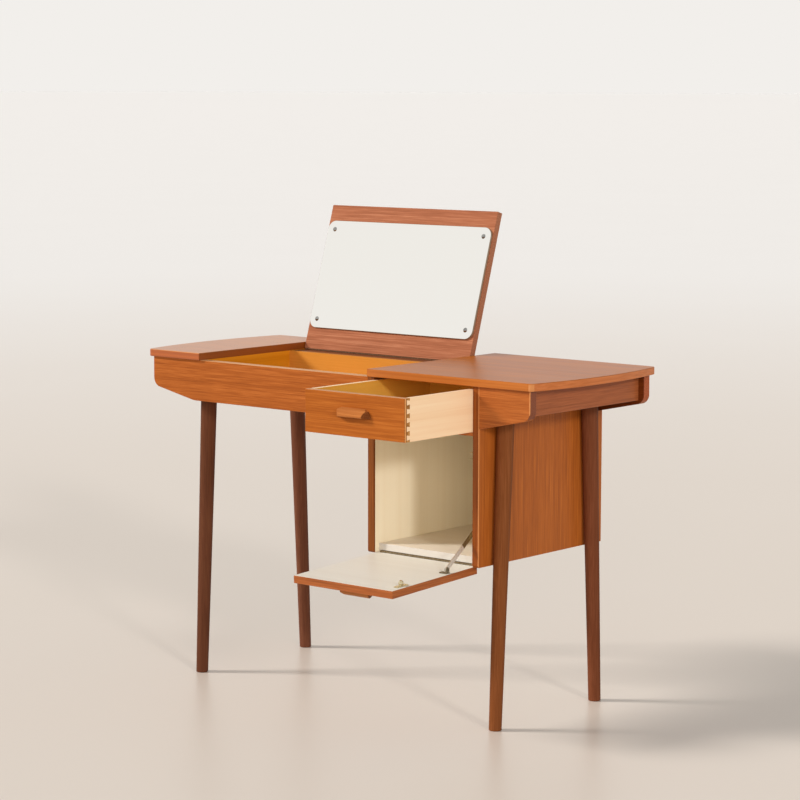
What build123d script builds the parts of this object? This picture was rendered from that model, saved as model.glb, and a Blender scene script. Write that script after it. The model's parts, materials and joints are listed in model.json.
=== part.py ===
import os
from math import cos, sin, tan, radians, degrees, hypot, atan2

from build123d import *

# Vanity table: fixed top sections left and right, a mirror lid between them over a lined well,
# a hanging cabinet on the right with a dovetailed drawer and a drop flap, four round tapered legs.
# Millimetres, +X to the right, +Y to the back, +Z up, floor at Z = 0.
# Pieces are laid out about the middle of the top, then moved along Y to the row frame.

ROW_Y = 106.70           # from the middle of the top to the middle of the whole standing outline

# table top
TABLE_H = 720.0
TOP_D = 430.0
TOP_T = 16.0
CORNER_X = 531.0         # where the bowed ends meet the straight edges
END_BOW = 25.0
CORNER_R = 12.5
EDGE_R = 1.8
LEFT_IN = -376.0         # inner edge of the left section
RIGHT_IN = 107.5         # inner edge of the right section
UNDER = TABLE_H - TOP_T

# frame under the top
FRONT_Y = -207.0
BACK_Y = 205.0
RAIL_T = 21.0
RAIL_END = 523.0
# lower corner at the rail's end, then where the slope ends and the lower edge there
RAIL_SHAPE = {-1: (640.0, 400.0, 614.0), 1: (645.0, 398.0, 618.0)}
TIP_R = 21.0
BEND_R = 70.0
END_OUT = 510.0
END_T = 16.0
END_LOW = 650.0
REST_GAP = 0.5           # the closed lid lies this far above what carries it

# legs
LEG_X = 414.4
FOOT_Y = 172.0
SPLAY = 2.6
FOOT_RAD = 13.2
LEG_RAD = 18.2
BATTEN_LOW = 678.0
TENON_RAD = 11.0
TENON_LEN = 21.0

# hanging cabinet
SIDE_T = 16.0
CAB_L = 103.0
CAB_R = 396.0
CAB_BACK = 214.0
CAB_LOW = 336.0
FLOOR_LOW = 340.0
FLOOR_T = 14.5
FLOOR_FRONT = -190.0
BACKING_T = 6.0
BACKING_Y = 203.0
SIDE_TOE_R = 5.0         # lower front corner of the sides
DIV_LOW = 603.0
DIV_T = 7.6

# lid with mirror
LID_L = -374.5
LID_R = 104.0
LID_FRONT = -214.0
LID_REAR = 122.7
LID_OPEN = 107.2
LID_AXIS = (125.7, 703.75)
MIRROR = (-370.5, 101.5, -176.5, 74.5)
MIRROR_T = 5.0
MIRROR_R = 20.0
SCREW_IN = 20.5
SCREW_RAD = 2.0
SCREW_BITE = 9.0         # how far the screws go into the lid
DOME_RAD = 5.4
DOME_H = 3.6

# well under the lid
WELL_BACK = 78.0
WELL_LOW = 636.0
WELL_T = 12.0
PLY_T = 6.0

# drawer
DRAW_OUT = 212.0
DRAW_GAP = 0.7
DRAW_LOW = 611.3
DRAW_TOP = 697.5
DRAW_FRONT_T = 16.0
DRAW_SIDE_T = 11.0
DRAW_REAR = 183.0
TAIL_LEN = 9.0
TAILS = 5
TAIL_END = 10.0
TAIL_ROOT = 7.4
DRAW_BACK_T = 10.0
BACK_HOUSING = 3.0       # how deep the back is let into the sides
GROOVE_Z = 618.0
GROOVE_H = 4.2
GROOVE_D = 5.0

# drop flap
DOOR_T = 16.0
DOOR_TOP = 602.2
DOOR_LOW = 336.5
DOOR_OPEN = 92.7
DOOR_AXIS = (-190.2, 337.2)

# stay between the flap and the cabinet side
STAY_D = 85.0            # pivot's distance from the flap's axis, along the flap
STAY_H = 7.0             # pivot's height over the axis
STUD_ANGLE = 76.0        # stud and pivot lie on one circle about the axis, so the arm turns half as far
STAY_W = 9.4
STAY_X = (368.6, 370.6)
KEEPER_L = 11.0
KEEPER_T = 1.3
SLIDE_GAP = 0.4          # play of the arm in its keeper
STUD_RAD = 2.2

# pull, cut from one piece of wood
PULL_L = 90.0
PULL_LIP_L = 62.0
PULL_TOP_L = 62.0
PULL_H = 19.0
PULL_OUT = 16.0
PULL_EDGE_R = 1.4
LIP_H = 3.4              # the lip's upper edge, and how far its foot slants in and up
LIP_IN = (1.2, 1.4)
HOLLOW_WALL = 2.4        # wood left behind the hollow, and the thickness of its lip
HOLLOW_LIP = 3.0
HOLLOW_END = 7.0         # wood left at the hollow's ends, at the back and at the lip
HOLLOW_LIP_END = 4.0

STANDING = (Align.CENTER, Align.CENTER, Align.MIN)

os.makedirs("parts", exist_ok=True)
built = {}


def board(x0, x1, y0, y1, z0, z1, r=0.0):
    b = Pos((x0 + x1) / 2, (y0 + y1) / 2, (z0 + z1) / 2) * Box(x1 - x0, y1 - y0, z1 - z0)
    return chamfer(b.edges(), r) if r else b


def prism_x(points, x0, x1):
    face = make_face(Polyline(*[(x0, y, z) for y, z in points], close=True))
    return extrude(face, amount=x1 - x0, dir=(1, 0, 0))


def rod_x(y, z, r, x0, x1):
    return Pos((x0 + x1) / 2, y, z) * Rot(0, 90, 0) * Cylinder(r, x1 - x0)


def turn(shape, axis, angle):
    return shape.rotate(Axis((0, axis[0], axis[1]), (1, 0, 0)), angle)


def save(node, *shapes):
    moved = [Pos(0, ROW_Y, 0) * s for s in shapes]
    solids = [s for m in moved for s in m.solids()]
    shape = solids[0] if len(solids) == 1 else Compound(solids)
    export_step(shape, f"parts/{node}.step")
    built[node] = shape


# Fixed sections of the top, with bowed ends and rounded corners
def top_section(inner, side):
    half = TOP_D / 2
    outer = side * CORNER_X
    lines = [
        Line((inner, -half), (outer, -half)),
        ThreePointArc((outer, -half), (side * (CORNER_X + END_BOW), 0), (outer, half)),
        Line((outer, half), (inner, half)),
        Line((inner, half), (inner, -half)),
    ]
    face = make_face(lines)
    face = fillet(face.vertices().filter_by(lambda v: abs(v.X - outer) < 1), CORNER_R)
    slab = Pos(0, 0, UNDER) * extrude(face, amount=TOP_T, dir=(0, 0, 1))
    rim = slab.edges().filter_by(lambda e: abs(e.center().X - inner) > 0.1)
    rim = rim.filter_by(lambda e: abs(abs(e.center().Z - UNDER - TOP_T / 2) - TOP_T / 2) < 0.01)
    return fillet(rim, EDGE_R)


save("top_left", top_section(LEFT_IN, -1))
save("top_right", top_section(RIGHT_IN, 1))


# Rails with boat-shaped ends: a rounded tip, a slope, then the full depth
def rail(side, x_far, y0, y1):
    tip, bend, low_z = RAIL_SHAPE[side]
    pts = [(side * RAIL_END, UNDER), (side * RAIL_END, tip), (side * bend, low_z)]
    pts += [(x_far, low_z), (x_far, UNDER)]
    face = make_face(Polyline(*[(x, y0, z) for x, z in pts], close=True))
    face = fillet(face.vertices().sort_by_distance((pts[1][0], y0, pts[1][1]))[0], TIP_R)
    if abs(x_far - side * bend) > BEND_R:
        face = fillet(face.vertices().sort_by_distance((pts[2][0], y0, pts[2][1]))[0], BEND_R)
    body = extrude(face, amount=y1 - y0, dir=(0, 1, 0))
    low = body.edges().filter_by(lambda e: e.center().Z < UNDER - 1)
    low = low.filter_by(lambda e: abs(e.center().Y - (y0 + y1) / 2) > RAIL_T / 2 - 0.1)
    low = low.filter_by(lambda e: abs(e.center().X - x_far) > 0.1)
    return fillet(low, 1.2)


def two_ended_rail(y0, y1):
    return rail(-1, CAB_L, y0, y1), rail(1, CAB_R, y0, y1)


lid_rest = board(LEFT_IN, CAB_L, FRONT_Y - 5, FRONT_Y + RAIL_T + 5, UNDER - REST_GAP, UNDER + 5)
front_long, front_short = two_ended_rail(FRONT_Y, FRONT_Y + RAIL_T)
back_long, back_short = two_ended_rail(BACK_Y - RAIL_T, BACK_Y)
save("front_rail", front_long - lid_rest)
save("front_apron", front_short)
save("back_rail_left", back_long)
save("back_rail_right", back_short)

inside_front = FRONT_Y + RAIL_T
inside_back = BACK_Y - RAIL_T
for name, side in (("left", -1), ("right", 1)):
    xs = sorted((side * END_OUT, side * (END_OUT - END_T)))
    save("end_panel_" + name, board(xs[0], xs[1], inside_front, inside_back, END_LOW, UNDER, 0.8))


# Round tapered legs, splayed to front and back only, tenoned into battens across the frame
leg_len = BATTEN_LOW / cos(radians(SPLAY))


def leg_frame(side, end):
    return Pos(side * LEG_X, end * FOOT_Y, 0) * Rot(end * SPLAY, 0, 0)


def tenon(side, end, length):
    root = 4.0
    peg = Cylinder(TENON_RAD, length + root, align=STANDING)
    return leg_frame(side, end) * Pos(0, 0, leg_len - root) * peg


def leg(side, end):
    extra = 6.0
    rate = (LEG_RAD - FOOT_RAD) / leg_len
    frame = leg_frame(side, end)
    length = leg_len + 2 * extra
    taper = Cone(FOOT_RAD - rate * extra, LEG_RAD + rate * extra, length, align=STANDING)
    body = frame * Pos(0, 0, -extra) * taper
    keep = board(side * LEG_X - 60, side * LEG_X + 60, -300, 300, 0, BATTEN_LOW)
    body = body & keep
    foot = body.edges().filter_by(lambda e: abs(e.center().Z) < 0.01)
    body = chamfer(foot, 1.5)
    return body + tenon(side, end, TENON_LEN)


for name, side in (("left", -1), ("right", 1)):
    for place, end in (("front", -1), ("back", 1)):
        save(f"leg_{place}_{name}", leg(side, end))
batten_spans = {"left": (-444.0, LEFT_IN - WELL_T - 0.2), "right": (CAB_R + 0.2, 446.0)}
for name, side in (("left", -1), ("right", 1)):
    x0, x1 = batten_spans[name]
    slab = board(x0, x1, inside_front, inside_back, BATTEN_LOW, UNDER)
    for end in (-1, 1):
        slab = slab - tenon(side, end, TENON_LEN + 1.0)
    save("leg_batten_" + name, slab)

# Cabinet hanging under the right section
cab_in_l = CAB_L + SIDE_T
cab_in_r = CAB_R - SIDE_T
for name, x0 in (("left", CAB_L), ("right", CAB_R - SIDE_T)):
    side = board(x0, x0 + SIDE_T, FRONT_Y, CAB_BACK, CAB_LOW, UNDER)
    low_front = side.edges().filter_by(Axis.X).sort_by_distance((x0, FRONT_Y, CAB_LOW))[0]
    side = fillet(low_front, SIDE_TOE_R)
    side = fillet(side.edges().filter_by(Axis.Z).filter_by(lambda e: e.center().Y < FRONT_Y + 1), 1.0)
    if name == "left":
        side = side - board(CAB_L - 1, RIGHT_IN, FRONT_Y - 1, CAB_BACK + 1, UNDER - REST_GAP, UNDER + 1)
    save("cabinet_side_" + name, side)
save("cabinet_bottom", board(cab_in_l, cab_in_r, FLOOR_FRONT, BACKING_Y, FLOOR_LOW, FLOOR_LOW + FLOOR_T, 0.8))
save("cabinet_back", board(cab_in_l, cab_in_r, BACKING_Y, BACKING_Y + BACKING_T, FLOOR_LOW, UNDER))
save("cabinet_divider", board(cab_in_l, cab_in_r, FRONT_Y, BACKING_Y, DIV_LOW, DIV_LOW + DIV_T, 0.6))

# Lined well under the lid, and the rail that the lid hinges on
rail_top = UNDER - REST_GAP
well_top = WELL_LOW + PLY_T
save("well_left_wall", board(LEFT_IN - WELL_T, LEFT_IN, inside_front, inside_back, WELL_LOW, UNDER))
save("well_bottom", board(LEFT_IN, CAB_L, inside_front, WELL_BACK, WELL_LOW, well_top))
save("well_back_wall", board(LEFT_IN, CAB_L, WELL_BACK, WELL_BACK + WELL_T, WELL_LOW, rail_top))
save("hinge_rail", board(LEFT_IN, CAB_L, WELL_BACK + WELL_T, LID_REAR, 676.0, rail_top))
shelf_top = UNDER + 0.4
save("rear_shelf", board(LEFT_IN, CAB_L, 130.0, inside_back, shelf_top - 14.0, shelf_top))


# Lid: modelled lying shut, then swung open about its hinge axis
def lid_pose(shape):
    return turn(shape, LID_AXIS, -LID_OPEN)


bevel = TOP_T * tan(radians(LID_OPEN - 90))
lid_section = [(LID_FRONT, UNDER), (LID_REAR, UNDER), (LID_REAR - bevel, TABLE_H), (LID_FRONT, TABLE_H)]
lid = prism_x(lid_section, LID_L, LID_R)
lid = fillet(lid.edges().filter_by(lambda e: e.center().Y < LID_REAR - bevel - 1), 1.0)
mx0, mx1, my0, my1 = MIRROR
plate = board(mx0, mx1, my0, my1, UNDER - MIRROR_T, UNDER)
plate = fillet(plate.edges().filter_by(Axis.Z), MIRROR_R)
plate = fillet(plate.edges().filter_by(lambda e: e.center().Z < UNDER - MIRROR_T + 0.1), 1.0)
screws = []
for sx in (mx0 + SCREW_IN, mx1 - SCREW_IN):
    for sy in (my0 + SCREW_IN, my1 - SCREW_IN):
        face_z = UNDER - MIRROR_T
        ball_rad = (DOME_RAD ** 2 + DOME_H ** 2) / (2 * DOME_H)
        ball = Pos(sx, sy, face_z - DOME_H + ball_rad) * Sphere(ball_rad)
        dome = ball & board(sx - 8, sx + 8, sy - 8, sy + 8, face_z - 8, face_z)
        shank = Pos(sx, sy, face_z) * Cylinder(SCREW_RAD, MIRROR_T + SCREW_BITE, align=STANDING)
        screws.append(dome + shank)
        plate = plate - Pos(sx, sy, UNDER) * Cylinder(SCREW_RAD + 0.2, 3 * MIRROR_T)
        lid = lid - shank
save("lid_panel", lid_pose(lid))
save("mirror_glass", lid_pose(plate))
save("mirror_screws", *[lid_pose(s) for s in screws])

# Long lid hinge: a leaf on the lid's bevelled end, a plate on the rail's back, knuckles on one pin
KNUCKLE = 2.6
PIN = 1.2
LEAF_T = 1.5
KNUCKLE_GAP = 0.4
LID_HINGE_X = (-368.0, 96.0)
LID_KNUCKLES = 17
ky, kz = LID_AXIS
along = (-sin(radians(LID_OPEN - 90)), cos(radians(LID_OPEN - 90)))
outward = (along[1], -along[0])


def on_end(t, n):
    return (LID_REAR + t * along[0] + n * outward[0], UNDER + t * along[1] + n * outward[1])


def knuckle_spans(x0, x1, count):
    step = (x1 - x0) / count
    half_gap = KNUCKLE_GAP / 2
    return [(x0 + i * step + half_gap, x0 + (i + 1) * step - half_gap) for i in range(count)]


hx0, hx1 = LID_HINGE_X
leaf = prism_x([on_end(2, 0), on_end(13, 0), on_end(13, LEAF_T), on_end(2, LEAF_T)], hx0, hx1)
fixed = board(hx0, hx1, LID_REAR, LID_REAR + LEAF_T, 688.0, 700.4)
leaf_neck = [on_end(0.8, 0.3), on_end(4, 0.3), on_end(4, LEAF_T), (ky + 0.4, kz + 1.4), (ky - 1.4, kz + 0.2)]
fixed_neck = [(LID_REAR, 699.0), (LID_REAR + LEAF_T, 698.0), (ky + 1.0, kz - 2.0), (ky - 1.4, kz - 0.4)]
for i, (a, b) in enumerate(knuckle_spans(hx0, hx1, LID_KNUCKLES)):
    if i % 2:
        leaf = leaf + prism_x(leaf_neck, a, b) + rod_x(ky, kz, KNUCKLE, a, b)
    else:
        fixed = fixed + prism_x(fixed_neck, a, b) + rod_x(ky, kz, KNUCKLE, a, b)
save("lid_hinge_leaves", lid_pose(leaf - rod_x(ky, kz, PIN + 0.05, hx0 - 1, hx1 + 1)))
save("lid_hinge_plates", fixed - rod_x(ky, kz, PIN, hx0 - 1, hx1 + 1))
save("lid_hinge_pins", rod_x(ky, kz, PIN, hx0, hx1))


# Pull: a hood hollowed from below, its ends sloped in plan and rounded in front view
def hood(length, lip, top, height, out, profile):
    body = extrude(make_face(profile(-length / 2)), amount=length, dir=(1, 0, 0))
    plan_pts = [(-length / 2, 0, -1), (length / 2, 0, -1), (lip / 2, -out, -1), (-lip / 2, -out, -1)]
    plan = extrude(make_face(Polyline(*plan_pts, close=True)), amount=height + 2, dir=(0, 0, 1))
    mid = (length / 2 * 0.62 + top / 2 * 0.38 + 1.6, height * 0.55)
    front_edges = [
        Line((-length / 2, 1, 0), (length / 2, 1, 0)),
        ThreePointArc((length / 2, 1, 0), (mid[0], 1, mid[1]), (top / 2, 1, height)),
        Line((top / 2, 1, height), (-top / 2, 1, height)),
        ThreePointArc((-top / 2, 1, height), (-mid[0], 1, mid[1]), (-length / 2, 1, 0)),
    ]
    front = extrude(make_face(front_edges), amount=out + 2, dir=(0, -1, 0))
    return body & plan & front


def outer_profile(x):
    lip = (x, -PULL_OUT, LIP_H)
    foot = (x, -PULL_OUT + LIP_IN[0], LIP_IN[1])
    return [
        Line((x, 0, 0), (x, 0, PULL_H)),
        ThreePointArc((x, 0, PULL_H), (x, -0.645 * PULL_OUT, 0.75 * PULL_H), lip),
        Line(lip, foot),
        Line(foot, (x, 0, 0)),
    ]


def inner_profile(x):
    wall = (x, -HOLLOW_WALL, -1)
    wall_top = (x, -HOLLOW_WALL, 6.0)
    lip = (x, -PULL_OUT + HOLLOW_LIP, 2.2)
    lip_low = (x, -PULL_OUT + HOLLOW_LIP - 0.4, -1)
    return [
        Line(wall, wall_top),
        ThreePointArc(wall_top, (x, -0.46 * PULL_OUT, 0.55 * PULL_H), lip),
        Line(lip, lip_low),
        Line(lip_low, wall),
    ]


def pull():
    outer = hood(PULL_L, PULL_LIP_L, PULL_TOP_L, PULL_H, PULL_OUT, outer_profile)
    rim = outer.edges().filter_by(lambda e: e.center().Y < -0.5 and e.center().Z > 1.0)
    outer = fillet(rim, PULL_EDGE_R)
    half_in, half_lip = PULL_L / 2 - HOLLOW_END, PULL_LIP_L / 2 - HOLLOW_LIP_END
    hollow = extrude(make_face(inner_profile(-half_in)), amount=2 * half_in, dir=(1, 0, 0))
    plan_pts = [(-half_in, 0, -2), (half_in, 0, -2), (half_lip, -PULL_OUT, -2), (-half_lip, -PULL_OUT, -2)]
    plan = extrude(make_face(Polyline(*plan_pts, close=True)), amount=PULL_H, dir=(0, 0, 1))
    return outer - (hollow & plan)


# Drawer: half-blind dovetails, grooved bottom, back housed in the sides; drawn part way out
dx0, dx1 = cab_in_l + DRAW_GAP, cab_in_r - DRAW_GAP
front_in = FRONT_Y + DRAW_FRONT_T
drawn = Pos(0, -DRAW_OUT, 0)
pitch = (DRAW_TOP - DRAW_LOW) / TAILS


def drawer_tails(x0):
    tails = []
    for i in range(TAILS):
        mid = DRAW_LOW + (i + 0.5) * pitch
        tip = front_in - TAIL_LEN
        lower = [(front_in, mid - TAIL_ROOT / 2), (tip, mid - TAIL_END / 2)]
        upper = [(tip, mid + TAIL_END / 2), (front_in, mid + TAIL_ROOT / 2)]
        tails.append(prism_x(lower + upper, x0, x0 + DRAW_SIDE_T))
    return tails


front = board(dx0, dx1, FRONT_Y, front_in, DRAW_LOW, DRAW_TOP)
front = fillet(front.edges().filter_by(lambda e: e.center().Y < FRONT_Y + 0.1), 0.8)
inner0, inner1 = dx0 + DRAW_SIDE_T, dx1 - DRAW_SIDE_T
groove_top = GROOVE_Z + GROOVE_H
groove0, groove1 = inner0 - GROOVE_D, inner1 + GROOVE_D
long_groove = board(groove0, groove1, front_in, DRAW_REAR + 1, GROOVE_Z, groove_top)
front_groove = board(inner0, inner1, front_in - GROOVE_D, front_in + 1, GROOVE_Z, groove_top)
back_span = (inner0 - BACK_HOUSING, inner1 + BACK_HOUSING)
back = board(*back_span, DRAW_REAR - DRAW_BACK_T, DRAW_REAR - 1.5, groove_top, DRAW_TOP - 8)
for name, x0 in (("left", dx0), ("right", dx1 - DRAW_SIDE_T)):
    side = board(x0, x0 + DRAW_SIDE_T, front_in, DRAW_REAR, DRAW_LOW, DRAW_TOP)
    for tail in drawer_tails(x0):
        side = side + tail
        front = front - tail
    save("drawer_side_" + name, drawn * (side - long_groove - back))
front = front - front_groove
play = 0.1
panel_z = (GROOVE_Z + play, groove_top - play)
bottom = board(groove0 + 3 * play, groove1 - 3 * play, front_in, DRAW_REAR - 0.5, *panel_z)
tongue = board(inner0 + 2 * play, inner1 - 2 * play, front_in - GROOVE_D + 3 * play, front_in, *panel_z)
save("drawer_front", drawn * front)
save("drawer_back", drawn * back)
save("drawer_bottom", drawn * (bottom + tongue))
PULL_X = 249.0
save("drawer_pull", drawn * Pos(PULL_X, FRONT_Y, 650.0) * pull())


# Drop flap between the cabinet sides: modelled shut, then swung down about its lower inner edge
def door_pose(shape):
    return turn(shape, DOOR_AXIS, DOOR_OPEN)


ay, az = DOOR_AXIS
door_in = FRONT_Y + DOOR_T
DOOR_HINGE_IN = 4.0      # from the flap's ends to its hinge
DOOR_KNUCKLES = 11
DKNUCKLE = 2.4
DPIN = 1.1
hx0, hx1 = dx0 + DOOR_HINGE_IN, dx1 - DOOR_HINGE_IN
panel = board(dx0, dx1, FRONT_Y, door_in, DOOR_LOW, DOOR_TOP, 0.8)
panel = panel - board(hx0 - 0.5, hx1 + 0.5, door_in - 2.6, door_in + 1, DOOR_LOW - 1, DOOR_LOW + 4.2)
panel = panel - board(hx0 - 0.2, hx1 + 0.2, FRONT_Y + 2.0, door_in, DOOR_LOW - 1, DOOR_LOW + LEAF_T)
leaf = board(hx0, hx1, FRONT_Y + 2.2, door_in - 3.0, DOOR_LOW, DOOR_LOW + LEAF_T)
fixed = board(hx0, hx1, ay + 4.2, ay + 24.0, FLOOR_LOW - LEAF_T, FLOOR_LOW)
leaf_end, leaf_top, root = door_in - 3.5, DOOR_LOW + LEAF_T, ay + 5.0
leaf_neck = [(leaf_end, DOOR_LOW), (ay, az - 1.0), (ay - 1.4, leaf_top), (leaf_end, leaf_top)]
fixed_neck = [(root, FLOOR_LOW), (ay + 0.4, az + 1.6), (ay + 0.8, az - 1.6), (root, FLOOR_LOW - LEAF_T)]
for i, (a, b) in enumerate(knuckle_spans(hx0, hx1, DOOR_KNUCKLES)):
    if i % 2:
        leaf = leaf + prism_x(leaf_neck, a, b) + rod_x(ay, az, DKNUCKLE, a, b)
    else:
        fixed = fixed + prism_x(fixed_neck, a, b) + rod_x(ay, az, DKNUCKLE, a, b)
save("door_panel", door_pose(panel))
save("door_hinge_leaves", door_pose(leaf - rod_x(ay, az, DPIN + 0.05, hx0 - 1, hx1 + 1)))
save("door_hinge_plates", fixed - rod_x(ay, az, DPIN, hx0 - 1, hx1 + 1))
save("door_hinge_pins", rod_x(ay, az, DPIN, hx0, hx1))
DOOR_PULL_X = 261.0
save("door_pull", door_pose(Pos(DOOR_PULL_X, FRONT_Y, 566.0) * pull()))

# Stay: an arm on a bracket on the flap, sliding in a keeper that turns on a stud in the cabinet side
py, pz = ay + STAY_H, az + STAY_D
ring = hypot(STAY_D, STAY_H)
qy, qz = ay + ring * cos(radians(STUD_ANGLE)), az + ring * sin(radians(STUD_ANGLE))
open_angle = degrees(atan2(STAY_D, STAY_H)) + DOOR_OPEN
reach = 2 * ring * sin(radians((open_angle - STUD_ANGLE) / 2))
face_h = door_in
LUG_X = (371.2, 372.8)
RIVET = 2.0
RIVET_HEAD = 3.6
foot = board(353.0, LUG_X[1], face_h, face_h + 1.6, pz - 6.0, pz + 6.0)
foot = fillet(foot.edges().filter_by(Axis.Y).filter_by(lambda e: e.center().X < 354), 3.0)
lug = board(LUG_X[0], LUG_X[1], face_h, py, pz - 5.0, pz + 5.0) + rod_x(py, pz, 5.0, *LUG_X)
bracket = foot + lug - rod_x(py, pz, RIVET, LUG_X[0] - 1, LUG_X[1] + 1)
save("stay_bracket", door_pose(bracket))
RIVET_X = (366.9, 374.0)
rivet = rod_x(py, pz, RIVET, *RIVET_X)
for head in ((RIVET_X[0], STAY_X[0] - 0.4), (LUG_X[1], RIVET_X[1])):
    rivet = rivet + rod_x(py, pz, RIVET_HEAD, *head)
save("stay_rivet", door_pose(rivet))

poy = ay + ring * cos(radians(open_angle))
poz = az + ring * sin(radians(open_angle))
tilt = degrees(atan2(qz - poz, qy - poy))
KEEPER_X = (STAY_X[0] - SLIDE_GAP - KEEPER_T, STAY_X[1] + SLIDE_GAP + KEEPER_T)
STOP_RAD = 1.5
stop_at = reach + KEEPER_L / 2 + STOP_RAD + 0.3
arm_end = stop_at + 2.0
arm = board(STAY_X[0], STAY_X[1], 0, arm_end, -STAY_W / 2, STAY_W / 2)
arm = arm + rod_x(0, 0, STAY_W / 2, *STAY_X) + rod_x(arm_end, 0, STAY_W / 2, *STAY_X)
arm = arm + rod_x(stop_at, 0, STOP_RAD, *KEEPER_X)
arm = arm - rod_x(0, 0, RIVET + 0.05, STAY_X[0] - 1, STAY_X[1] + 1)
save("stay_arm", Pos(0, poy, poz) * turn(arm, (0, 0), tilt))
slide = STAY_W / 2 + SLIDE_GAP
keeper = board(*KEEPER_X, -KEEPER_L / 2, KEEPER_L / 2, -slide - KEEPER_T, slide + KEEPER_T, 0.4)
keeper = keeper - board(STAY_X[0] - SLIDE_GAP, STAY_X[1] + SLIDE_GAP, -KEEPER_L, KEEPER_L, -slide, slide)
keeper = keeper - rod_x(0, 0, STUD_RAD + 0.05, STAY_X[1], KEEPER_X[1] + 1)
save("stay_keeper", Pos(0, qy, qz) * turn(keeper, (0, 0), tilt))
stud = rod_x(qy, qz, STUD_RAD, STAY_X[1] + SLIDE_GAP, cab_in_r)
save("stay_stud", stud + rod_x(qy, qz, 2 * STUD_RAD, KEEPER_X[1] + 0.4, cab_in_r))

# Catch: a ball striker on the flap and a spring clip on the cabinet side
BALL_X = 365.0
BALL_D = 222.0
BALL_RAD = 5.4
BALL_H = 6.8
CLIP_T = 1.0
by, bz = face_h + BALL_H, az + BALL_D
base = board(BALL_X - 5.5, BALL_X + 5.5, face_h, face_h + 1.5, bz - 17, bz + 17)
base = fillet(base.edges().filter_by(Axis.Y), 2.0)
post = Pos(BALL_X, face_h, bz) * Rot(-90, 0, 0) * Cylinder(3.4, BALL_H, align=STANDING)
save("catch_striker", door_pose(base + post + Pos(BALL_X, by, bz) * Sphere(BALL_RAD)))
jaw = BALL_RAD + 0.6
clip_x, clip_front, clip_rear = 358.0, by - 4.6, by + BALL_RAD + 2.0
clip_low, clip_high = bz - jaw - CLIP_T, bz + jaw + CLIP_T
clip = board(clip_x, cab_in_r, clip_rear - CLIP_T, clip_rear, clip_low, clip_high)
clip = clip + board(clip_x, cab_in_r, clip_front, clip_rear, clip_low, clip_low + CLIP_T)
clip = clip + board(clip_x, cab_in_r, clip_front, clip_rear, clip_high - CLIP_T, clip_high)
clip = clip + board(cab_in_r - CLIP_T, cab_in_r, clip_front, clip_rear + 8.0, clip_low, clip_high)
save("catch_clip", clip)

low = [min(tuple(s.bounding_box().min)[i] for s in built.values()) for i in range(3)]
high = [max(tuple(s.bounding_box().max)[i] for s in built.values()) for i in range(3)]
print("nodes", len(built), "low", [round(v, 2) for v in low], "high", [round(v, 2) for v in high])
print("lid axis", ky + ROW_Y, kz, "flap axis", ay + ROW_Y, az)
print("stay pivot", poy + ROW_Y, poz, "stud", qy + ROW_Y, qz)
print("arm angle", round(tilt, 3), "row shift wanted", round(ROW_Y - (low[1] + high[1]) / 2, 3))
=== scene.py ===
import json
import math

import bmesh
import bpy
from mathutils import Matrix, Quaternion, Vector


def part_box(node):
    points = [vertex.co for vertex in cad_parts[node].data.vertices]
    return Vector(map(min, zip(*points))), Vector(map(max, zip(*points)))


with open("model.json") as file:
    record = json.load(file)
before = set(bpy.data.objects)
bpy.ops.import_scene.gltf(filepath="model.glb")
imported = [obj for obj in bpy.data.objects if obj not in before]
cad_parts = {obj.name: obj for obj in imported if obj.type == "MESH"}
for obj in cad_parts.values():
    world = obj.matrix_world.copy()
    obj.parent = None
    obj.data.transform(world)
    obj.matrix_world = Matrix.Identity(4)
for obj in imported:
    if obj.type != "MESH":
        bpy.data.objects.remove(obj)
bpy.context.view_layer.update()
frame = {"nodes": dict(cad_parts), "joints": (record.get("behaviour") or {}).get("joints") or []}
nodes = frame["nodes"]
joints = {joint["name"]: joint for joint in frame["joints"]}
mm = 0.001
print("frame loaded:", len(nodes), "pieces")

# The floor under the middle of the top, from which the camera is placed
rightLow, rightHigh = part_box("top_right")
leftLow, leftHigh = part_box("top_left")
middle = Vector(((leftLow.x + rightHigh.x) / 2, (rightLow.y + rightHigh.y) / 2, 0))


def colour(hexText):
    parts = [int(hexText[i:i + 2], 16) / 255 for i in (1, 3, 5)]
    linear = [p / 12.92 if p <= 0.04045 else ((p + 0.055) / 1.055) ** 2.4 for p in parts]
    return (*linear, 1.0)


def addNode(tree, kind, inputs=None, **settings):
    node = tree.nodes.new(kind)
    for key, value in settings.items():
        setattr(node, key, value)
    for key, value in (inputs or {}).items():
        if isinstance(value, bpy.types.NodeSocket):
            tree.links.new(value, node.inputs[key])
        else:
            node.inputs[key].default_value = value
    return node


def newMaterial(name):
    material = bpy.data.materials.new(name)
    material.use_nodes = True
    material.node_tree.nodes.clear()
    return material, material.node_tree


def setRamp(ramp, stops):
    while len(ramp.elements) < len(stops):
        ramp.elements.new(0.5)
    for element, (place, hexText) in zip(ramp.elements, stops):
        element.position = place
        element.color = colour(hexText)


# Camera at the photograph's angle
cameraLook = {"azimuth": 39.985, "pitch": 6.836, "roll": 0.11, "distance": 5.63357,
              "aim": (0.0162, 0.0, 0.62876), "lens": 117.92, "sensor": 36.0}


def placeCamera(look):
    turn = math.radians(look["azimuth"])
    tip = math.radians(look["pitch"])
    back = Vector((math.sin(turn) * math.cos(tip), -math.cos(turn) * math.cos(tip), math.sin(tip)))
    data = bpy.data.cameras.new("camera")
    data.lens = look["lens"]
    data.sensor_width = look["sensor"]
    camera = bpy.data.objects.new("camera", data)
    bpy.context.scene.collection.objects.link(camera)
    camera.location = middle + Vector(look["aim"]) + back * look["distance"]
    level = (-back).to_track_quat("-Z", "Y")
    roll = Quaternion((0, 0, 1), math.radians(look["roll"]))
    camera.rotation_euler = (level @ roll).to_euler()
    bpy.context.scene.camera = camera


placeCamera(cameraLook)

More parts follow.
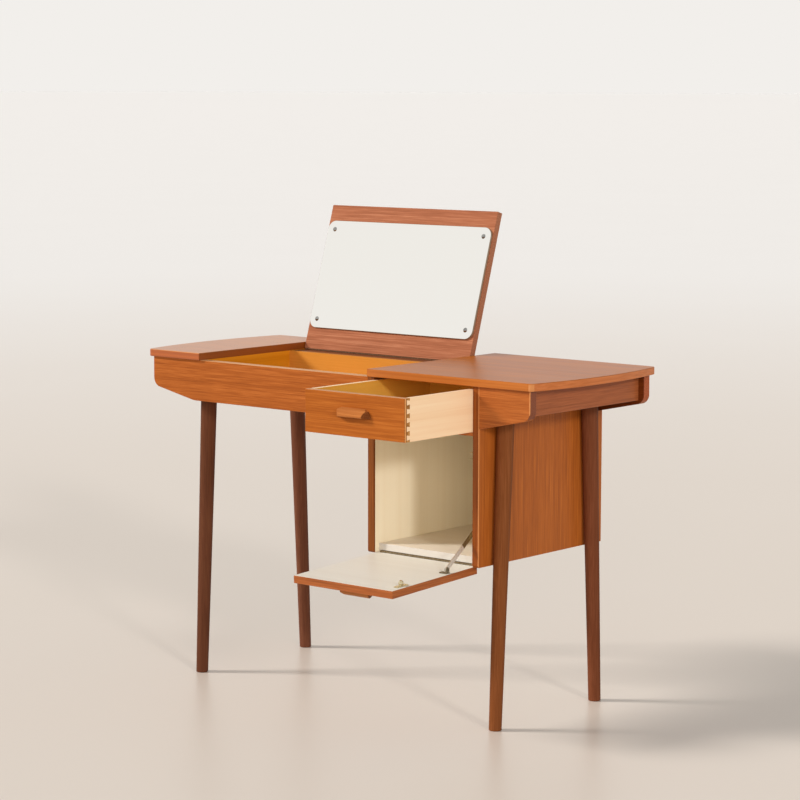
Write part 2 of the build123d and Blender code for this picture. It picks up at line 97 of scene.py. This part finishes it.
# Studio: pale floor and pale air; the main light from the front left, a low warm one and a smaller one
# from the front right. Lengths are in metres
studioLook = {"floor": "#DAD2CA", "far": "#EEEFF1", "fade": (1.5, 14.0), "reach": 400.0, "cloud": 1.25,
              "rough": (0.30, 0.38), "gloss": 0.35, "seen": "#F2EFEB", "ambient": "#F8F5F0",
              "ambientLevel": 0.38}
lampLook = [
    {"name": "keySun", "toward": (-0.68, -0.53, 0.48), "level": 3.05, "spread": 13, "tone": "#FFF8F0"},
    {"name": "frontSun", "toward": (0.60, -0.79, 0.12), "level": 1.2, "spread": 28, "tone": "#FFE8CA"},
    {"name": "sideSun", "toward": (0.85, -0.42, 0.32), "level": 1.02, "spread": 7, "tone": "#FFF9F2"},
]


def buildWorld(look):
    world = bpy.data.worlds.new("studioAir")
    bpy.context.scene.world = world
    world.use_nodes = True
    tree = world.node_tree
    tree.nodes.clear()
    ray = addNode(tree, "ShaderNodeLightPath").outputs
    glossyToo = addNode(tree, "ShaderNodeMath", {0: ray["Is Camera Ray"], 1: ray["Is Glossy Ray"]},
                        operation="ADD").outputs[0]
    seenRay = addNode(tree, "ShaderNodeMath", {0: glossyToo, 1: ray["Is Transmission Ray"]},
                      operation="ADD", use_clamp=True).outputs[0]
    soft = addNode(tree, "ShaderNodeBackground",
                   {"Color": colour(look["ambient"]), "Strength": look["ambientLevel"]}).outputs[0]
    seen = addNode(tree, "ShaderNodeBackground",
                   {"Color": colour(look["seen"]), "Strength": 1.0}).outputs[0]
    both = addNode(tree, "ShaderNodeMixShader", {0: seenRay, 1: soft, 2: seen}).outputs[0]
    addNode(tree, "ShaderNodeOutputWorld", {"Surface": both})


def floorMaterial(look):
    material, tree = newMaterial("sealedStudioFloor")    # sealed: pale, with a broad dull reflection
    place = addNode(tree, "ShaderNodeTexCoord").outputs["Object"]
    cloud = addNode(tree, "ShaderNodeTexNoise",
                    {"Vector": place, "Scale": 1.0 / look["cloud"], "Detail": 2.0}).outputs["Fac"]
    smooth, dull = look["rough"]
    rough = addNode(tree, "ShaderNodeMapRange", {0: cloud, 3: smooth, 4: dull}).outputs[0]
    away = addNode(tree, "ShaderNodeVectorMath", {0: place}, operation="LENGTH").outputs["Value"]
    near, far = look["fade"]
    fade = addNode(tree, "ShaderNodeMapRange", {0: away, 1: near, 2: far},
                   interpolation_type="SMOOTHSTEP").outputs[0]
    tint = addNode(tree, "ShaderNodeMix", {0: fade, 6: colour(look["floor"]), 7: colour(look["far"])},
                   data_type="RGBA").outputs[2]
    shader = addNode(tree, "ShaderNodeBsdfPrincipled",
                     {"Base Color": tint, "Specular IOR Level": look["gloss"], "Roughness": rough})
    addNode(tree, "ShaderNodeOutputMaterial", {"Surface": shader.outputs["BSDF"]})
    return material


def buildFloor(look):
    mesh = bpy.data.meshes.new("floor")
    shape = bmesh.new()
    bmesh.ops.create_grid(shape, x_segments=1, y_segments=1, size=look["reach"])
    shape.to_mesh(mesh)
    shape.free()
    floor = bpy.data.objects.new("floor", mesh)
    bpy.context.scene.collection.objects.link(floor)
    mesh.materials.append(floorMaterial(look))


def buildLamps(looks):
    for look in looks:
        data = bpy.data.lights.new(look["name"], "SUN")
        data.energy = look["level"]
        data.angle = math.radians(look["spread"])
        data.color = colour(look["tone"])[:3]
        lamp = bpy.data.objects.new(look["name"], data)
        bpy.context.scene.collection.objects.link(lamp)
        lamp.rotation_euler = Vector(look["toward"]).to_track_quat("Z", "Y").to_euler()
        lamp.visible_glossy = False    # the glass and the floor show the pale air alone


buildWorld(studioLook)
buildFloor(studioLook)
buildLamps(lampLook)
bpy.context.scene.view_settings.view_transform = "Standard"
print("studio ready")

# Wood: slow figure, long growth lines and fine streaks along the grain, and dark pores
# Faces across the grain may show a lipping with its own grain, or end grain; coats cover chosen faces
# Sizes are in mm, leans in degrees. Pores are drawn several times their real width, so that they show
plainWood = {"shift": 0.0, "lean": 1.2, "stretches": (110.0, 40.0), "endTilt": 0.7,
             "figure": 34, "lines": 5, "streak": 2.1, "pore": 1.1, "endPore": 1.6,
             "weights": (0.25, 0.5, 1.0), "poreDepth": 0.22, "rough": (0.36, 0.48), "gloss": 0.22,
             "bump": 0.10, "relief": 0.4, "coats": ()}
plainCoat = {"brush": 14, "rough": 0.42, "ends": False}


def halfSpace(tree, place, normal, offset):
    along = addNode(tree, "ShaderNodeVectorMath", {0: place, 1: normal}, operation="DOT_PRODUCT")
    return addNode(tree, "ShaderNodeMath", {0: along.outputs["Value"], 1: offset},
                   operation="GREATER_THAN").outputs[0]


def stretched(tree, place, axis, look, stretch):
    shift = look["shift"]    # another part of the pattern for each piece
    scale = [1.0, 1.0, 1.0]
    scale[axis] = 1.0 / stretch
    lean = [math.radians(look["lean"])] * 3
    lean[axis] = 0.0
    return addNode(tree, "ShaderNodeMapping",
                   {"Vector": place, "Location": (shift, shift * 1.7, shift * 0.6), "Rotation": lean,
                    "Scale": scale}).outputs[0]


def woodMaterial(name, look):
    look = dict(plainWood, **look)
    material, tree = newMaterial(name)
    coords = addNode(tree, "ShaderNodeTexCoord").outputs
    place = coords["Object"]
    axis = "XYZ".index(look["grain"])
    edgeAxis = "XYZ".index(look.get("lipping", look["grain"]))
    grainWay = [0.0, 0.0, 0.0]
    grainWay[axis] = 1.0
    tilt = addNode(tree, "ShaderNodeVectorMath", {0: coords["Normal"], 1: grainWay},
                   operation="DOT_PRODUCT").outputs["Value"]
    tilt = addNode(tree, "ShaderNodeMath", {0: tilt}, operation="ABSOLUTE").outputs[0]
    across = addNode(tree, "ShaderNodeMath", {0: tilt, 1: look["endTilt"]},
                     operation="GREATER_THAN").outputs[0]
    spaces = []
    for stretch in look["stretches"]:
        face = stretched(tree, place, axis, look, stretch)
        edge = stretched(tree, place, edgeAxis, look, stretch)
        spaces.append(addNode(tree, "ShaderNodeMix", {0: across, 4: face, 5: edge},
                              data_type="VECTOR").outputs[1])
    grain, fleck = spaces
    figure = addNode(tree, "ShaderNodeTexNoise",
                     {"Vector": grain, "Scale": 1.0 / (look["figure"] * mm), "Detail": 2.0,
                      "Roughness": 0.5, "Distortion": 0.6}).outputs["Fac"]
    lines = addNode(tree, "ShaderNodeTexNoise",
                    {"Vector": grain, "Scale": 1.0 / (look["lines"] * mm), "Detail": 3.0,
                     "Roughness": 0.55, "Distortion": 0.3}).outputs["Fac"]
    streak = addNode(tree, "ShaderNodeTexNoise",
                     {"Vector": fleck, "Scale": 1.0 / (look["streak"] * mm), "Detail": 4.0,
                      "Roughness": 0.62}).outputs["Fac"]
    pore = addNode(tree, "ShaderNodeTexNoise",
                   {"Vector": fleck, "Scale": 1.0 / (look["pore"] * mm), "Detail": 2.0,
                    "Roughness": 0.5}).outputs["Fac"]
    tone = 0.5
    for source, weight in zip((figure, lines, streak), look["weights"]):
        centred = addNode(tree, "ShaderNodeMath", {0: source, 1: 0.5}, operation="SUBTRACT").outputs[0]
        tone = addNode(tree, "ShaderNodeMath", {0: centred, 1: weight, 2: tone},
                       operation="MULTIPLY_ADD").outputs[0]
    ramp = addNode(tree, "ShaderNodeValToRGB", {"Fac": tone})
    setRamp(ramp.color_ramp, [(0.10, look["dark"]), (0.48, look["mid"]), (0.72, look["pale"])])
    pores = addNode(tree, "ShaderNodeMapRange",
                    {0: pore, 1: 0.60, 2: 0.72, 3: 0.0, 4: look["poreDepth"]}).outputs[0]
    wood = addNode(tree, "ShaderNodeMix", {0: pores, 6: ramp.outputs["Color"], 7: colour(look["dark"])},
                   data_type="RGBA").outputs[2]
    if "endGrain" in look:
        ends = addNode(tree, "ShaderNodeTexNoise",
                       {"Vector": place, "Scale": 1.0 / (look["endPore"] * mm), "Detail": 3.0})
        cut = addNode(tree, "ShaderNodeValToRGB", {"Fac": ends.outputs["Fac"]})
        setRamp(cut.color_ramp, [(0.3, look["dark"]), (0.7, look["endGrain"])])
        wood = addNode(tree, "ShaderNodeMix", {0: across, 6: wood, 7: cut.outputs["Color"]},
                       data_type="RGBA").outputs[2]
    height = addNode(tree, "ShaderNodeMath", {0: streak, 1: pores}, operation="SUBTRACT").outputs[0]
    smooth, dull = look["rough"]
    rough = addNode(tree, "ShaderNodeMapRange", {0: streak, 1: 0.3, 2: 0.7, 3: smooth, 4: dull}).outputs[0]
    for coat in look["coats"]:
        coat = dict(plainCoat, **coat)
        mask = across if coat["ends"] else 1.0
        for normal, offset in coat["where"]:
            part = halfSpace(tree, place, normal, offset)
            mask = addNode(tree, "ShaderNodeMath", {0: mask, 1: part}, operation="MULTIPLY").outputs[0]
        if "tint" in coat:    # a tint that darkens the wood and keeps its grain, for tone changes and for painted shade
            wood = addNode(tree, "ShaderNodeMix", {0: mask, 6: wood, 7: colour(coat["tint"])},
                           data_type="RGBA", blend_type="MULTIPLY").outputs[2]
            continue
        brush = addNode(tree, "ShaderNodeTexNoise",
                        {"Vector": grain, "Scale": 1.0 / (coat["brush"] * mm),
                         "Detail": 3.0}).outputs["Fac"]
        layer = addNode(tree, "ShaderNodeValToRGB", {"Fac": brush})
        setRamp(layer.color_ramp, [(0.3, coat["dark"]), (0.7, coat["pale"])])
        wood = addNode(tree, "ShaderNodeMix", {0: mask, 6: wood, 7: layer.outputs["Color"]},
                       data_type="RGBA").outputs[2]
        height = addNode(tree, "ShaderNodeMix", {0: mask, 2: height, 3: brush}).outputs[0]
        rough = addNode(tree, "ShaderNodeMix", {0: mask, 2: rough, 3: coat["rough"]}).outputs[0]
    bump = addNode(tree, "ShaderNodeBump",
                   {"Height": height, "Strength": look["bump"], "Distance": look["relief"] * mm})
    shader = addNode(tree, "ShaderNodeBsdfPrincipled",
                     {"Base Color": wood, "Roughness": rough, "Specular IOR Level": look["gloss"],
                      "Normal": bump.outputs["Normal"]})
    addNode(tree, "ShaderNodeOutputMaterial", {"Surface": shader.outputs["BSDF"]})
    return material


def dress(material, *names):
    for name in names:
        nodes[name].data.materials.clear()
        nodes[name].data.materials.append(material)


# Half-space over a piece's farthest points in a direction, to the given depth
def farthest(name, direction, depth):
    reach = max(Vector(direction).dot(vertex.co) for vertex in nodes[name].data.vertices)
    return tuple(direction), reach - depth


# Teak of the outside: oiled veneer and lippings, orange brown, dull sheen; paler along worn edges, with a
# painted sheen on the worn top faces and painted highlights along some arrises
teakTones = {"pale": "#BC6D2F", "mid": "#A25721", "dark": "#783B16"}
# Wear and painted sheen: paler top faces, partly worn and partly a painted sheen
wornAndSheen = {"pale": "#DCAA7C", "dark": "#C08A5A"}
# Painted highlight along an arris
arrisHighlight = {"pale": "#D4905A", "dark": "#BE7C48"}
hair = 0.2 * mm           # takes in a flat face alone
skin = 1.0 * mm           # takes in a face with its rounded edges
arrisHighlightDepth = 0.8 * mm
frontRight = (0.71, -0.71, 0)

# Top: veneer over an edge band; painted shade darkens the inner ends, and a painted highlight lies on the
# front right corner
bandDrop = 1.2 * mm
cornerHighlightDepth = 1.5 * mm
belowTop = ((0, 0, -1), bandDrop - rightHigh.z)
leftCoats = [
    {"pale": "#AE591E", "dark": "#964B15", "brush": 4, "where": [belowTop]},
    # Painted shade on the inner end face
    {"tint": "#CCC896", "where": [((1, 0, 0), leftHigh.x - hair)]},
]
# Left top: paler and greyer than the right, a painted reflection of pale surroundings; its band is darker
# and more orange to offset the sheen
leftLook = {"grain": "X", "lipping": "Y", "pale": "#CF8848", "mid": "#B16D35", "dark": "#844B26",
            "rough": (0.27, 0.35), "gloss": 0.80, "coats": leftCoats}
rightCoats = [
    {"pale": "#C77844", "dark": "#B26633", "brush": 4, "where": [belowTop]},
    # Painted shade on the inner end face, as on the left top
    {"tint": "#B4A08C", "where": [((-1, 0, 0), -rightLow.x - hair)]},
    # Painted shade on the front face of the band
    {"tint": "#EAE8C2", "where": [belowTop, ((0, -1, 0), -rightLow.y - skin)]},
    # Painted highlight on the rounded front right corner
    dict(arrisHighlight, where=[belowTop, farthest("top_right", frontRight, cornerHighlightDepth)]),
]
rightLook = {"grain": "X", "lipping": "Y", "shift": 0.2, "pale": "#BC6F21", "mid": "#A25917",
             "dark": "#783C0E", "rough": (0.31, 0.40), "gloss": 0.24, "coats": rightCoats}
dress(woodMaterial("oiledTeakLeft", leftLook), "top_left", "rear_shelf")
dress(woodMaterial("oiledTeakRight", rightLook), "top_right")

# Lid: the mirror's side is pinker, its tone holding a painted sheen, and the outside yellower; the rail
# that it hinges on is darker with painted shade
lidOpen = math.radians(joints["lid_hinge"]["range_deg"][1])
lidOut = Vector((0, math.sin(lidOpen), math.cos(lidOpen)))
lidOuter = [{"tint": "#FFE6A0", "where": [farthest("lid_panel", lidOut, hair)]}]
lidLook = {"grain": "X", "shift": 0.37, "pale": "#B67C5F", "mid": "#A0654A", "dark": "#7A4830",
           "endGrain": "#C08466", "gloss": 0.12, "coats": lidOuter}
hingeRailShadeLook = {"grain": "X", "shift": 0.6, "pale": "#7A4A2C", "mid": "#6A3C22", "dark": "#4E2A16"}
dress(woodMaterial("oiledTeakLid", lidLook), "lid_panel")
dress(woodMaterial("oiledTeakHingeRail", hingeRailShadeLook), "hinge_rail")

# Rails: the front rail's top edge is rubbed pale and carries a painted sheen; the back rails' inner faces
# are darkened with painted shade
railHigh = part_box("front_rail")[1]
railTop = [dict(wornAndSheen, where=[((0, 0, 1), railHigh.z - skin)])]
railLook = {"grain": "X", "shift": 0.81, "pale": "#B56A33", "mid": "#9C5524", "dark": "#733A18",
            "endGrain": "#7C4422", "gloss": 0.08, "coats": railTop}
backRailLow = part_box("back_rail_right")[0]
# Painted shade on the back rails' front faces
backRailShade = [{"tint": "#A08C7C", "where": [((0, -1, 0), -backRailLow.y - skin)]}]
backLook = dict(teakTones, grain="X", shift=1.1, endGrain="#BE643C", coats=backRailShade)
# Painted highlight along the apron's right arris
apronHighlight = [dict(arrisHighlight, where=[farthest("front_apron", frontRight, arrisHighlightDepth)])]
apronLook = {"grain": "X", "shift": 1.93, "pale": "#B66B34", "mid": "#9C5525", "dark": "#743A19",
             "endGrain": "#85503C", "coats": apronHighlight}
endLook = {"grain": "Y", "shift": 1.31, "pale": "#A9643C", "mid": "#965531", "dark": "#723D1D"}
dress(woodMaterial("oiledTeakRail", railLook), "front_rail")
dress(woodMaterial("oiledTeakBack", backLook), "back_rail_left", "back_rail_right")
dress(woodMaterial("oiledTeakApron", apronLook), "front_apron")
dress(woodMaterial("oiledTeakEnd", endLook), "end_panel_left", "end_panel_right")

# Drawer front: its ends show the teak facing, the pale core, the glue line and the pins
frontLow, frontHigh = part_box("drawer_front")
faceEnd, coreEnd, glueEnd = 1.5 * mm, 5 * mm, 7 * mm
frontCoats = [
    {"pale": "#E0A66C", "dark": "#CE8E52", "ends": True,
     "where": [((0, 1, 0), frontLow.y + faceEnd), ((0, -1, 0), -frontLow.y - coreEnd)]},
    {"pale": "#8E5A2C", "dark": "#704018", "ends": True,
     "where": [((0, 1, 0), frontLow.y + coreEnd), ((0, -1, 0), -frontLow.y - glueEnd)]},
    {"pale": "#C89456", "dark": "#845628", "ends": True, "brush": 9,
     "where": [((0, 1, 0), frontLow.y + glueEnd)]},
    # The top face: paler with wear and a painted sheen
    {"pale": "#CC9464", "dark": "#A8744A", "where": [((0, 0, 1), frontHigh.z - hair)]},
]
drawerLook = {"grain": "X", "shift": 2.4, "pale": "#BA6F30", "mid": "#A05821", "dark": "#763C16",
              "endGrain": "#D0985C", "gloss": 0.08, "weights": (0.2, 0.35, 0.75), "coats": frontCoats}
pullLook = {"grain": "X", "shift": 3.1, "pale": "#C07E48", "mid": "#A86634", "dark": "#54280F",
            "endGrain": "#844E28", "gloss": 0.06, "weights": (0.2, 0.2, 0.6)}
dress(woodMaterial("oiledTeakDrawer", drawerLook), "drawer_front")
dress(woodMaterial("oiledTeakPull", pullLook), "drawer_pull", "door_pull")

# Cabinet sides: teak outside and on the front lipping, cream paint inside below the drawer
sideTones = {"pale": "#BD6D2D", "mid": "#A55A22", "dark": "#7F4216"}
cream = {"pale": "#F2EBD6", "dark": "#EEE5CE"}
lipping = 5 * mm
dividerLow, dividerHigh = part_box("cabinet_divider")
sideLeftLow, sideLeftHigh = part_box("cabinet_side_left")
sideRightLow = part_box("cabinet_side_right")[0]
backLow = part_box("cabinet_back")[0]
behindLipping = ((0, 1, 0), sideLeftLow.y + lipping)
beforeBack = ((0, -1, 0), -backLow.y)
belowDrawer = ((0, 0, -1), -dividerHigh.z)
leftSideCoats = [
    dict(cream, where=[((1, 0, 0), sideLeftHigh.x - hair), behindLipping, beforeBack, belowDrawer]),
]
leftSideLook = {"grain": "Z", "shift": 4.2, "pale": "#8E5224", "mid": "#784218", "dark": "#5A2E10",
                "coats": leftSideCoats}
rightSideCoats = [
    dict(cream, where=[((-1, 0, 0), -sideRightLow.x - hair), behindLipping, beforeBack, belowDrawer]),
    # Painted shade on the front lipping
    {"tint": "#C8BEB4", "where": [((0, -1, 0), -sideRightLow.y - skin)]},
    # Painted highlight along the front right arris
    dict(arrisHighlight, where=[farthest("cabinet_side_right", frontRight, arrisHighlightDepth)]),
]
rightSideLook = dict(sideTones, grain="Z", shift=5.7, lines=6, streak=2.2, coats=rightSideCoats)
dress(woodMaterial("teakSideLeft", leftSideLook), "cabinet_side_left")
dress(woodMaterial("teakSideRight", rightSideLook), "cabinet_side_right")

# Flap: teak outside, cream paint on the inner face, which looks up when the flap is down
doorAxis = Vector(joints["door_hinge"]["pos_m"])
doorOpen = math.radians(joints["door_hinge"]["range_deg"][1])
innerNormal = Vector((0, math.cos(doorOpen), math.sin(doorOpen)))
flapCoats = [
    {"pale": "#E1E1DB", "dark": "#DDDCD5",
     "where": [(tuple(innerNormal), innerNormal.dot(doorAxis) - skin)]},
    {"tint": "#FFFAC4", "where": [farthest("door_panel", -innerNormal, hair)]},
]
flapLook = {"grain": "X", "lipping": "Y", "shift": 6.6, "pale": "#B26A3A", "mid": "#9A562C",
            "dark": "#74401F", "coats": flapCoats}
dress(woodMaterial("teakFlap", flapLook), "door_panel")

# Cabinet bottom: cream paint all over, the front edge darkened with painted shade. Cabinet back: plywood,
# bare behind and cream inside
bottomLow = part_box("cabinet_bottom")[0]
bottomCoats = [
    {"pale": "#E8E2D6", "dark": "#E4DCCE", "where": []},
    # Painted shade on the front edge
    {"tint": "#E4E8F0", "where": [((0, -1, 0), -bottomLow.y - skin)]},
]
bottomLook = dict(sideTones, grain="X", coats=bottomCoats)
backInside = [{"pale": "#FAF2DC", "dark": "#F6ECD4", "where": [((0, -1, 0), -backLow.y - hair)]}]
plyLook = {"grain": "Z", "shift": 6.9, "pale": "#C89A68", "mid": "#B98A58", "dark": "#A07246",
           "coats": backInside}
dress(woodMaterial("creamBoard", bottomLook), "cabinet_bottom")
dress(woodMaterial("plywoodBack", plyLook), "cabinet_back")

# Legs: turned and stained darker than the rest; each leg has its own tone, which holds painted light and
# shade, the left legs darkest
legLook = {"grain": "Z", "rough": (0.46, 0.58), "gloss": 0.06, "weights": (0.2, 0.2, 0.5)}
legToneAndShade = {
    "leg_front_left": {"pale": "#6E4731", "mid": "#5B3626", "dark": "#402519", "shift": 7.7},
    "leg_back_left": {"pale": "#81553E", "mid": "#6A4131", "dark": "#4D2E21", "shift": 8.9},
    "leg_front_right": {"pale": "#8F5836", "mid": "#774525", "dark": "#552F18", "shift": 12.6},
    "leg_back_right": {"pale": "#834F38", "mid": "#6D3E28", "dark": "#4E291A", "shift": 13.8},
}
for leg, tones in legToneAndShade.items():
    dress(woodMaterial("stainedAndShaded_" + leg, dict(legLook, **tones)), leg)

# Well: pale ply under clear amber lacquer, smooth and warm yellow; the back wall is paler, a painted sheen
amberLook = {"pale": "#D79129", "mid": "#CB8319", "dark": "#B67010", "weights": (0.6, 0.3, 0.3),
             "poreDepth": 0.15, "rough": (0.30, 0.38), "bump": 0.04}
# The back wall's paler amber is a painted sheen
amberSheen = {"pale": "#DA9A4C", "mid": "#CE8C3C", "dark": "#B87A2C"}
wellBackLook = dict(amberLook, grain="X", shift=8.3, **amberSheen)
wellBottomLook = dict(amberLook, grain="X", shift=8.7)
wellSideLook = dict(amberLook, grain="Y", shift=9.1)
dress(woodMaterial("amberLacquerBack", wellBackLook), "well_back_wall")
dress(woodMaterial("amberLacquerBottom", wellBottomLook), "well_bottom")
dress(woodMaterial("amberLacquerSide", wellSideLook), "well_left_wall")

# Drawer box: bare beech outside, pale and matt, and yellowed varnish inside; the battens are bare too
# The divider under the drawer is beech with a teak lipping
beechLook = {"pale": "#FBE2C1", "mid": "#F6D7B2", "dark": "#E9C397", "weights": (0.5, 0.3, 0.3),
             "poreDepth": 0.12, "rough": (0.48, 0.60), "bump": 0.05, "streak": 4.5}
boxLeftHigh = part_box("drawer_side_left")[1]
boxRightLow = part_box("drawer_side_right")[0]
boxInside = [{"pale": "#ECBA58", "dark": "#DDA646",
              "where": [((1, 0, 0), boxLeftHigh.x - hair), ((-1, 0, 0), -boxRightLow.x - hair)]}]
dividerEdge = [{"pale": "#B56A33", "dark": "#9C5524", "brush": 4,
                "where": [((0, -1, 0), -dividerLow.y - skin)]}]
boxSideLook = dict(beechLook, grain="Y", shift=10.4, coats=boxInside)
boxCrossLook = dict(beechLook, grain="X", shift=10.9, coats=boxInside)
battenLook = dict(beechLook, grain="X", shift=11.8)
dividerLook = dict(beechLook, grain="X", shift=12.2, coats=dividerEdge)
dress(woodMaterial("beechSide", boxSideLook), "drawer_side_left", "drawer_side_right")
dress(woodMaterial("beechVarnished", boxCrossLook), "drawer_back", "drawer_bottom")
dress(woodMaterial("beechCross", battenLook), "leg_batten_left", "leg_batten_right")
dress(woodMaterial("beechDivider", dividerLook), "cabinet_divider")
print("woods ready")

# Mirror: silvered plate glass; the polished edge has no silver and looks a dull grey brown
mirrorLook = {"silver": "#FBFBF8", "edge": "#8C7C6A", "facing": (0.93, 0.985), "rough": (0.25, 0.015)}


def mirrorMaterial(look):
    material, tree = newMaterial("silveredGlass")
    normal = addNode(tree, "ShaderNodeTexCoord").outputs["Normal"]
    facing = addNode(tree, "ShaderNodeVectorMath", {0: normal, 1: tuple(-lidOut)},
                     operation="DOT_PRODUCT").outputs["Value"]
    edgeMost, flatLeast = look["facing"]
    flat = addNode(tree, "ShaderNodeMapRange", {0: facing, 1: edgeMost, 2: flatLeast}).outputs[0]
    tint = addNode(tree, "ShaderNodeMix", {0: flat, 6: colour(look["edge"]), 7: colour(look["silver"])},
                   data_type="RGBA").outputs[2]
    edgeRough, flatRough = look["rough"]
    rough = addNode(tree, "ShaderNodeMapRange", {0: flat, 3: edgeRough, 4: flatRough}).outputs[0]
    shader = addNode(tree, "ShaderNodeBsdfPrincipled",
                     {"Base Color": tint, "Metallic": flat, "Roughness": rough})
    addNode(tree, "ShaderNodeOutputMaterial", {"Surface": shader.outputs["BSDF"]})
    return material


dress(mirrorMaterial(mirrorLook), "mirror_glass")


# Metal fittings: drawn or plated, with faint handling marks in colour and gloss, sized in mm
def metalMaterial(name, look):
    material, tree = newMaterial(name)
    place = addNode(tree, "ShaderNodeTexCoord").outputs["Object"]
    marks = addNode(tree, "ShaderNodeTexNoise",
                    {"Vector": place, "Scale": 1.0 / (look["marks"] * mm), "Detail": 4.0}).outputs["Fac"]
    ramp = addNode(tree, "ShaderNodeValToRGB", {"Fac": marks})
    setRamp(ramp.color_ramp, [(0.3, look["dark"]), (0.65, look["pale"])])
    tint = ramp.outputs["Color"]
    # Painted shade: a darker tone over the part past the given plane
    if "shadedPart" in look:
        shaded = halfSpace(tree, place, *look["shadedPart"])
        tint = addNode(tree, "ShaderNodeMix", {0: shaded, 6: tint, 7: colour(look["shadeTone"])},
                       data_type="RGBA").outputs[2]
    smooth, dull = look["rough"]
    rough = addNode(tree, "ShaderNodeMapRange", {0: marks, 1: 0.3, 2: 0.7, 3: smooth, 4: dull}).outputs[0]
    shader = addNode(tree, "ShaderNodeBsdfPrincipled",
                     {"Base Color": tint, "Metallic": 1.0, "Roughness": rough})
    addNode(tree, "ShaderNodeOutputMaterial", {"Surface": shader.outputs["BSDF"]})
    return material


# Mirror screws: polished chrome, a small bright dome
chromeLook = {"pale": "#B0B0AE", "dark": "#8A8A88", "marks": 6, "rough": (0.12, 0.22)}
dress(metalMaterial("polishedChrome", chromeLook), "mirror_screws")

# Flap stay: bright steel arm, its part past a set length from the rivet darkened with painted shade; its
# other parts are blacked and rubbed
rivetPlace = Vector(joints["stay_pivot"]["pos_m"])
armWay = (Vector(joints["keeper_pivot"]["pos_m"]) - rivetPlace).normalized()
# Length of the arm from the rivet that is left without painted shade
litLength = 65 * mm
armLook = {"pale": "#F2ECE2", "dark": "#DCD2C4", "marks": 5, "rough": (0.52, 0.62), "shadeTone": "#8E7A58",
           "shadedPart": (tuple(armWay), armWay.dot(rivetPlace) + litLength)}
blackedLook = {"pale": "#B4A890", "dark": "#5A4F40", "marks": 3, "rough": (0.28, 0.42)}
dress(metalMaterial("brightSteel", armLook), "stay_arm")
dress(metalMaterial("blackedSteel", blackedLook), "stay_bracket", "stay_rivet", "stay_stud", "stay_keeper")

# Hinges: dull steel darkened with painted shade, dark brown on the lid and olive on the flap
lidHingeShadeLook = {"pale": "#86634A", "dark": "#6A4C36", "marks": 5, "rough": (0.38, 0.52)}
flapHingeShadeLook = {"pale": "#AC9A7C", "dark": "#847252", "marks": 5, "rough": (0.34, 0.48)}
dress(metalMaterial("lidHingeSteelShaded", lidHingeShadeLook), "lid_hinge_leaves", "lid_hinge_plates", "lid_hinge_pins")
dress(metalMaterial("flapHingeSteelShaded", flapHingeShadeLook), "door_hinge_leaves", "door_hinge_plates", "door_hinge_pins")

# Catch: pale brass, worn bright on the striker; the clip darkened to a painted shade
brassLook = {"pale": "#F4EACC", "dark": "#BEAC80", "marks": 4, "rough": (0.16, 0.30)}
clipShadeLook = {"pale": "#CCBA8C", "dark": "#A89870", "marks": 4, "rough": (0.40, 0.55)}
dress(metalMaterial("wornBrass", brassLook), "catch_striker")
dress(metalMaterial("brassPaintedShade", clipShadeLook), "catch_clip")
print("fittings ready")
